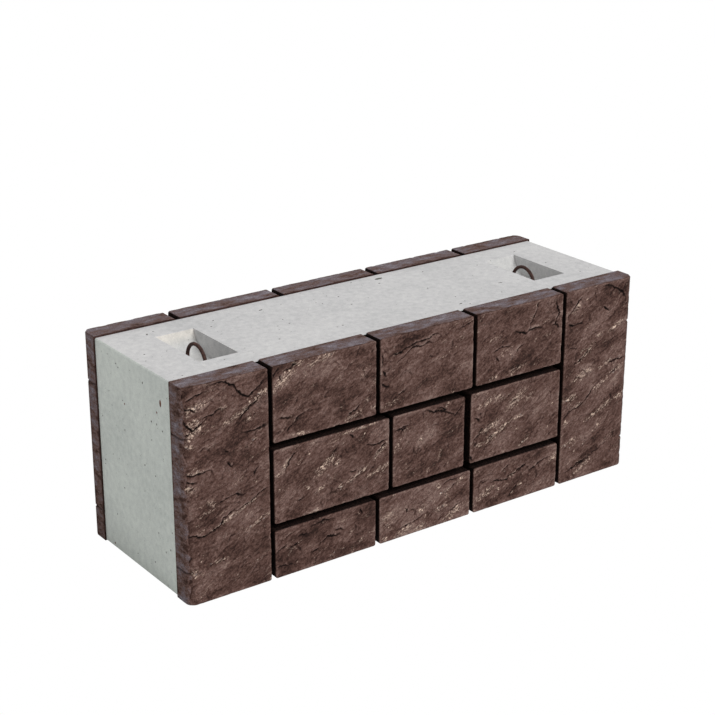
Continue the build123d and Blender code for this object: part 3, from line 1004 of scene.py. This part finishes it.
def shapeFace(u, v, corner, outer, marks):
    # grids over the face: its depth, how far it is turned at the outer corner, and what the material reads
    cut, seed = stoneCut, marks["seed"]
    width, height = u.max(), v.max()
    depth, crackGap, crackShare, glint, tone = carveFace(u + corner[0], v + corner[1], marks)
    turn = np.full_like(u, math.pi / 2)
    if outer["left"] or outer["right"]:
        fromEnd = u if outer["left"] else width - u
        turn = np.minimum(fromEnd / cut["endRounding"], turn)
    skinTurn = cut["skinTurn"] + cut["skinWaver"] * layeredNoise(u / 30, v / 22, 3, seed + 34)
    skin = 1 - ease(0, math.radians(cut["skinFade"]), turn - np.radians(skinTurn))
    bare = 1 - skin

    # the edges are rounded and chipped, and the relief dies away towards them
    edges = [v, height - v]
    if not outer["left"]:
        edges.append(u)
    if not outer["right"]:
        edges.append(width - u)
    nearest = np.minimum.reduce(edges)
    arris = cut["arris"] * (1 + 0.8 * layeredNoise(u / 26, v / 26, 3, seed + 20))
    arris += cut["chip"] * ease(0.30, 0.75, layeredNoise(u / 30, v / 30, 2, seed + 21))
    if outer["bottom"]:
        arris = arris * (0.25 + 0.75 * ease(0, 8, v))
    arris = np.clip(arris, 0.5, None)
    rounding = np.clip(1 - nearest / arris, 0, 0.98)
    edgeDrop = arris * (1 - np.sqrt(1 - rounding ** 2))
    quiet = 0.12 + 0.88 * ease(0, cut["edgeBand"], nearest)
    depth = np.clip(depth, 0.15, None) * quiet * bare + edgeDrop

    # painted light and shade: ridges lighter and hollows darker in colour and, over a wider reach, in tone,
    # and the glints stronger on ridges
    stands = soften(depth, 6) - depth
    return {
        "depth": depth,
        "turn": turn,
        "crackGap": np.clip(crackGap / 6, -1, 1),
        "crackShare": crackShare * bare,
        "glint": np.clip(1.3 * glint * (0.75 + 0.9 * stands), 0, 1) * bare,
        "ridge": np.clip(0.5 + 0.42 * stands, 0, 1),
        "tone": np.clip(tone + 0.08 * (soften(depth, 40) - depth), 0, 1),
        "skin": skin,
    }


def endSeams(v, w, turn, onFace, seed):
    # how deep a point lies in one of the level seams, which run out round the corner
    lift = 2.5 * layeredNoise(w / 14, v / 400 + 3, 2, seed + 33)
    gap = np.minimum.reduce([np.abs(v + lift - level) for level in stoneCut["seams"]])
    runOut = ease(math.radians(stoneCut["skinTurn"]), math.radians(stoneCut["seamEnd"]), turn)
    return hump(gap, stoneCut["seamHalf"]) * np.where(onFace, 1 - runOut, 1)


def bendEnd(run, width, turn, border):
    # distance from the outer end, once the first part of the face is bent round the corner
    radius = stoneCut["endRounding"]
    arc = radius * math.pi / 2
    bent = radius * (1 - np.cos(turn)) + border * np.cos(turn)
    straight = radius + (run - arc) * (width - radius) / (width - arc)
    return np.where(run < arc, bent, straight)


def roundCorners(u, v, width, height, radius):
    # square corners drawn in to arcs, everything near them along with the edge
    fromU, fromV = np.minimum(u, width - u), np.minimum(v, height - v)
    inX, inZ = np.clip(radius - fromU, 0, None), np.clip(radius - fromV, 0, None)
    reach = np.maximum(np.hypot(inX, inZ), 1e-6)
    share = np.maximum(inX, inZ) / reach
    pullU, pullV = inX * (1 - share), inZ * (1 - share)
    return u + np.where(u < width / 2, pullU, -pullU), v + np.where(v < height / 2, pullV, -pullV)


def pullWalls(u, v, w, still, seamPull, sides, outer, seed):
    # how far the side faces are drawn in: they waver a little, and the outer ends have the seams
    sideways = 0.55 + 0.45 * layeredNoise(w / 40 + 9, v / 60, 4, seed + 30)
    upwards = 0.55 + 0.45 * layeredNoise(u / 45, w / 30 + 5, 3, seed + 31)
    pull = {}
    for side, lies in sides.items():
        waver = stoneCut["outerWaver"][side] if outer[side] else stoneCut["jointWaver"]
        uneven = upwards if side in ("bottom", "top") else sideways
        deeper = seamPull if outer[side] and side in ("left", "right") else 0
        pull[side] = (waver * uneven + deeper) * still * lies
    return pull


def paintStone(mesh, face, onFace, seam, behind, toCore, sides, outer):
    # what the material reads, with painted shade in the joints and seams, and the edges of the cast faces
    jointShadeShare = np.zeros(len(behind))
    showsSeam = onFace
    for side, lies in sides.items():
        if not outer[side]:
            jointShadeShare = np.maximum(jointShadeShare, lies * ease(0, stoneCut["jointShadeEdge"], behind))
        elif side in ("left", "right"):
            showsSeam = showsSeam | lies
    jointShadeShare = np.maximum(jointShadeShare, 0.8 * seam * showsSeam)
    rim = np.maximum(1 - ease(0, stoneCut["rim"], behind), 1 - ease(0, stoneCut["rim"], toCore))
    for name, plain in castTone.items():
        paintPoints(mesh, name, np.where(onFace, face[name], plain))
    paintPoints(mesh, "jointShade", jointShadeShare)
    paintPoints(mesh, "rim", np.where(onFace, 0.5, rim))


def carveStone(node, name, marks, step):
    piece, low, high, columns, rows = buildBlank(node, name, step)
    mesh, cut, seed = piece.data, stoneCut, marks["seed"]
    points = readPoints(mesh)
    front = low.y < 0
    outward = -1 if front else 1
    faceY = low.y if front else high.y
    width, thick, height = [(b - a) / mm for a, b in zip(low, high)]
    outer = outerEdges(low, high, front)
    hasEnd = outer["left"] or outer["right"]

    # as looked at: u to the right, v up, w into the stone
    u = (points[:, 0] - low.x) / mm if front else (high.x - points[:, 0]) / mm
    v = (points[:, 2] - low.z) / mm
    w = (faceY - points[:, 1]) * outward / mm
    column = np.rint(u / width * columns).astype(int)
    row = np.rint(v / height * rows).astype(int)
    sides = {"left": column == 0, "right": column == columns, "bottom": row == 0, "top": row == rows}
    onFace = w < 0.01

    # front marks are placed in the frame, back ones on their own stone
    corner = (low.x / mm, low.z / mm) if front else (0, 0)
    grid = np.meshgrid(np.linspace(0, width, columns + 1), np.linspace(0, height, rows + 1))
    face = {key: values[row, column] for key, values in shapeFace(*grid, corner, outer, marks).items()}
    turn = face["turn"]
    seam = endSeams(v, w, turn, onFace, seed) if hasEnd else np.zeros(len(v))
    border = face["depth"] + cut["seamDepth"] * seam * onFace
    total = border + cut["endRounding"] * (1 - np.sin(turn))
    newW = total + (thick - total) * np.clip(w / thick, 0, None) ** cut["rowCrowding"]
    newU = u
    if outer["left"]:
        newU = bendEnd(u, width, turn, border)
    if outer["right"]:
        newU = width - bendEnd(width - u, width, turn, border)

    # the side faces are drawn in a little, and the corners of the face rounded
    seamPull = cut["seamDepth"] * seam * ~onFace
    pull = pullWalls(u, v, newW, ease(0, 12, thick - newW), seamPull, sides, outer, seed)
    newU = newU + pull["left"] - pull["right"]
    newV = v + pull["bottom"] - pull["top"]
    atEnd = (outer["left"] & (u < width / 2)) | (outer["right"] & (u > width / 2))
    radius = np.where(atEnd, cut["endCorner"], cut["corner"])
    newU, newV = roundCorners(newU, newV, width, height, radius)

    points[:, 0] = low.x + newU * mm if front else high.x - newU * mm
    points[:, 1] = faceY - outward * newW * mm
    points[:, 2] = low.z + newV * mm
    writePoints(mesh, points)
    paintStone(mesh, face, onFace, seam, newW - border, thick - newW, sides, outer)
    makeActive(piece)
    bpy.ops.object.shade_smooth_by_angle(angle=math.radians(70))
    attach(piece, "root")
    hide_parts(node)


for number, (stone, marks) in enumerate(frontMarks.items()):
    carveStone(f"front_{stone}", f"{stone}_front", marks, stoneCut["frontStep"])
    low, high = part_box(f"back_{stone}")
    seed = backCut["firstSeed"] + backCut["seedStep"] * number
    hidden = backMarks((high.x - low.x) / mm, (high.z - low.z) / mm, seed)
    carveStone(f"back_{stone}", f"{stone}_back", hidden, stoneCut["backStep"])
print("stones carved:", 2 * len(frontMarks))


# The concrete core: a copy of the casting, with air holes sunk in its bare faces

pitCut = {
    "seed": 7,
    "topCount": 60,
    "endCount": 55,
    "smallest": 0.8,              # mm, radius
    "largest": 2.0,
    "flatness": 0.7,              # depth of a placed pit, to its radius
    "pocketReach": (0.47, 0.64),  # metres along the block, kept free of chance pits round the pockets
    "pocketHalf": 0.14,           # and across it
}

# Placed pits in the top: X, Y, radius, how drawn out, degrees from X
topMarks = [
    (147, 163, 6, 2.3, 5), (124, 128, 2.5, 1.4, 0), (-39, 99, 2.5, 1.2, 0), (-47, 25, 2.5, 1.2, 0),
    (-276, 130, 2.5, 3, 20), (-272, -5, 2.2, 1.3, 0), (-360, -91, 2.2, 1.3, 0), (-425, 133, 2.2, 1.5, 30),
    (-454, 94, 2.2, 1.2, 0), (-309, -5, 2, 1.2, 0), (-166, -101, 2.5, 1.2, 0), (-185, -103, 2, 1.2, 0),
    (208, 12, 2.2, 1.2, 0), (290, 140, 2.2, 1.6, 10), (199, -147, 2.4, 3, 15), (223, -135, 2, 1.2, 0),
    (220, -162, 2, 1.2, 0), (407, -70, 2.4, 3, -10), (356, -136, 2.2, 1.2, 0), (635, 133, 2.4, 1.4, 0),
    (640, -3, 2.2, 1.2, 0), (460, 97, 2.2, 1.2, 0), (225, -92, 2, 1.2, 0), (-63, 123, 2, 1.2, 0),
    (-109, 76, 2, 1.2, 0), (61, 178, 2.2, 1.4, 0), (-622, 140, 2.2, 3, 60), (-700, 14, 2.2, 1.2, 0),
    (-598, 151, 2, 1.2, 0), (-554, -135, 2, 1.2, 0), (-695, -168, 2, 1.2, 0),
]
# And in the left end: Y, Z, radius, how drawn out upwards, whether rusty
endMarks = [
    (-142, 514, 4.4, 2.3, True), (-122, 483, 2.6, 1.3, True), (47, 450, 2.4, 1.3, True),
    (144, 13, 2.6, 1.3, True), (-55, 541, 2.4, 1.2, False), (84, 549, 2.2, 1.2, False),
    (73, 542, 2.0, 1.2, False), (53, 375, 2.2, 1.3, False), (-92, 449, 2.4, 1.2, False),
    (-147, 441, 2.2, 1.2, False), (-163, 119, 2.4, 1.3, False), (-78, 50, 2.2, 1.2, False),
    (-47, 313, 2.2, 1.2, False), (71, 204, 2.2, 1.2, False), (172, 249, 2.2, 1.2, False),
]


def castCore():
    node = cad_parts["concrete_core"]
    core = bpy.data.objects.new("concrete_core_cast", node.data.copy())
    scene.collection.objects.link(core)
    core.data.materials.clear()
    for material in (castConcrete, pitShade, rustMark):
        core.data.materials.append(material)
    makeActive(core)
    bpy.ops.object.mode_set(mode="EDIT")
    bpy.ops.mesh.select_all(action="SELECT")
    bpy.ops.mesh.remove_doubles(threshold=0.00001)
    bpy.ops.mesh.dissolve_limited(angle_limit=math.radians(0.5))
    bpy.ops.object.mode_set(mode="OBJECT")
    return core


def addPit(master, place, size, turn, material):
    pit = master.copy()
    pit.data = master.data.copy()
    scene.collection.objects.link(pit)
    pit.location = place
    pit.scale = [length * mm for length in size]
    pit.rotation_euler = turn
    pit.data.materials.append(material)
    return pit


def chancePlaces(dice, low, high):
    # on the top, clear of the pockets, and on both ends
    places = []
    nearest, farthest = pitCut["pocketReach"]
    for _ in range(pitCut["topCount"]):
        x, y = dice.uniform(low.x + 0.02, high.x - 0.02), dice.uniform(low.y + 0.015, high.y - 0.015)
        if not (nearest < abs(x) < farthest and abs(y) < pitCut["pocketHalf"]):
            places.append((x, y, high.z))
    for end in (low.x, high.x):
        for _ in range(pitCut["endCount"]):
            places.append((end, dice.uniform(low.y + 0.01, high.y - 0.01), dice.uniform(0.02, high.z - 0.02)))
    return places


def makePits():
    low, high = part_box("concrete_core")
    dice = random.Random(pitCut["seed"])
    deselectAll()
    bpy.ops.mesh.primitive_ico_sphere_add(subdivisions=2, radius=1)
    master = bpy.context.active_object
    pits = []
    for x, y, radius, stretch, lie in topMarks:
        size = (radius * stretch, radius, radius * pitCut["flatness"])
        pits.append(addPit(master, (x * mm, y * mm, high.z), size, (0, 0, math.radians(lie)), pitShade))
    for y, z, radius, stretch, rusty in endMarks:
        size = (radius * pitCut["flatness"], radius, radius * stretch)
        pits.append(addPit(master, (low.x, y * mm, z * mm), size, (0, 0, 0), rustMark if rusty else pitShade))
    for place in chancePlaces(dice, low, high):
        radius = pitCut["smallest"] + (pitCut["largest"] - pitCut["smallest"]) * dice.random() ** 3
        size = (radius * dice.uniform(1.0, 1.7), radius, radius)
        turn = [dice.uniform(0, 6) for _ in range(3)]
        pits.append(addPit(master, place, size, turn, pitShade))
    makeActive(master)
    bpy.ops.object.delete()
    return pits


def sinkPits(core, pits):
    deselectAll()
    for pit in pits:
        pit.select_set(True)
    bpy.context.view_layer.objects.active = pits[0]
    bpy.ops.object.join()
    bpy.ops.object.transform_apply(location=True, rotation=True, scale=True)
    cutter = bpy.context.active_object
    makeActive(core)
    cutting = core.modifiers.new("pits", "BOOLEAN")
    cutting.operation = "DIFFERENCE"
    cutting.solver = "EXACT"
    cutting.material_mode = "TRANSFER"
    cutting.object = cutter
    bpy.ops.object.modifier_apply(modifier="pits")
    makeActive(cutter)
    bpy.ops.object.delete()


pocketFloor = {
    "flatHalf": 33.6,       # mm from the middle to where the floor begins to bend up
    "bendRadius": 80,
    "steepest": 62,         # degrees from level, on the sloping sides
    "along": (0.49, 0.62),  # metres, the faces that belong to a floor
    "across": 0.113,
    "levels": (0.52, 0.5848),
    "leastUp": 0.4,         # upward share of their normals
}


def onFloor(face):
    x, y, z = face.center
    inside = pocketFloor["along"][0] < abs(x) < pocketFloor["along"][1] and abs(y) < pocketFloor["across"]
    level = pocketFloor["levels"][0] < z < pocketFloor["levels"][1]
    return inside and level and face.normal.z > pocketFloor["leastUp"]


def shadeFloors(core):
    # each point of a pocket's bent floor is shaded by its true slope
    mesh = core.data
    steepest = math.sin(math.radians(pocketFloor["steepest"]))
    slopes = [(0, 0, 0)] * len(mesh.loops)
    for face in filter(onFloor, mesh.polygons):
        for corner in face.loop_indices:
            across = mesh.vertices[mesh.loops[corner].vertex_index].co.y / mm
            lean = max(abs(across) - pocketFloor["flatHalf"], 0) / pocketFloor["bendRadius"]
            lean = math.asin(min(lean, steepest))
            slopes[corner] = (0, -math.copysign(math.sin(lean), across), math.cos(lean))
    mesh.normals_split_custom_set(slopes)


core = castCore()
sinkPits(core, makePits())
makeActive(core)
bpy.ops.object.shade_smooth_by_angle(angle=math.radians(25))
for face in core.data.polygons:
    face.use_smooth = max(abs(share) for share in face.normal) < 0.9999     # the plain faces stay flat
shadeFloors(core)
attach(core, "root")
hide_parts("concrete_core")
print("core cast:", len(core.data.polygons), "faces")


# The lifting loops keep their solid, with a rusty skin

for side in ("left", "right"):
    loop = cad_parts[f"{side}_lifting_loop"]
    loop.data.materials.clear()
    loop.data.materials.append(rustyBar)
print("loops dressed")


# Floor, light and camera

stageLook = {
    "floorSize": 60,      # metres
    "floorDrop": 0.0002,  # metres below the block
    "floorGrey": (0.9, 0.9, 0.9, 1),
    "white": (1, 1, 1, 1),
    "sky": 0.5,
    "lightSoft": 30,      # degrees across each light
}
# The sun, and a low fill for the back: degrees round from straight in front, and degrees up
lightLook = {
    "sun": {"place": (2, -3, 4), "power": 2.45, "turn": 16, "height": 41},
    "fill": {"place": (2, 4, 2), "power": 0.9, "turn": 160, "height": 4},
}
# Metres, degrees and mm
cameraLook = {"eye": (-2.5728, -3.5008, 2.0747), "tilt": 69.213, "turn": -35.833, "lens": 84, "sensor": 36}


def splitRays(tree, lighting, seen, outlet):
    # one shader lights the block, the other is what the camera sees, straight, mirrored or through glass
    rays = addNode(tree, "ShaderNodeLightPath").outputs
    looking = mathOf(tree, "MAXIMUM", rays["Is Camera Ray"], rays["Is Glossy Ray"])
    looking = mathOf(tree, "MAXIMUM", looking, rays["Is Transmission Ray"])
    mix = addNode(tree, "ShaderNodeMixShader", Fac=looking)
    feed(tree, mix.inputs[1:], (lighting.outputs[0], seen.outputs[0]))
    tree.links.new(mix.outputs[0], tree.nodes[outlet].inputs["Surface"])


def layFloor():
    deselectAll()
    bpy.ops.mesh.primitive_plane_add(size=stageLook["floorSize"], location=(0, 0, -stageLook["floorDrop"]))
    floor = bpy.context.active_object
    floor.name = "floor"
    material, tree, shader = newMaterial("paleFloor")
    setSockets(tree, shader, Base_Color=stageLook["floorGrey"], Roughness=1.0, Specular_IOR_Level=0.0)
    white = addNode(tree, "ShaderNodeEmission", Color=stageLook["white"], Strength=1.0)
    splitRays(tree, shader, white, "Material Output")
    floor.data.materials.append(material)


def lightStudio():
    world = bpy.data.worlds.new("studio")
    scene.world = world
    world.use_nodes = True
    tree = world.node_tree
    sky = tree.nodes["Background"]
    setSockets(tree, sky, Color=stageLook["white"], Strength=stageLook["sky"])
    white = addNode(tree, "ShaderNodeBackground", Color=stageLook["white"], Strength=1.0)
    splitRays(tree, sky, white, "World Output")
    for name, look in lightLook.items():
        deselectAll()
        tilt, turn = math.radians(90 - look["height"]), math.radians(look["turn"])
        bpy.ops.object.light_add(type="SUN", location=look["place"], rotation=(tilt, 0, turn))
        light = bpy.context.active_object
        light.name = name
        light.data.energy = look["power"]
        light.data.angle = math.radians(stageLook["lightSoft"])


def setCamera():
    deselectAll()
    tilt, turn = math.radians(cameraLook["tilt"]), math.radians(cameraLook["turn"])
    bpy.ops.object.camera_add(location=cameraLook["eye"], rotation=(tilt, 0, turn))
    camera = bpy.context.active_object
    camera.data.lens = cameraLook["lens"]
    camera.data.sensor_width = cameraLook["sensor"]
    scene.camera = camera


layFloor()
lightStudio()
setCamera()
scene.view_settings.view_transform = "Standard"
print("stage set")
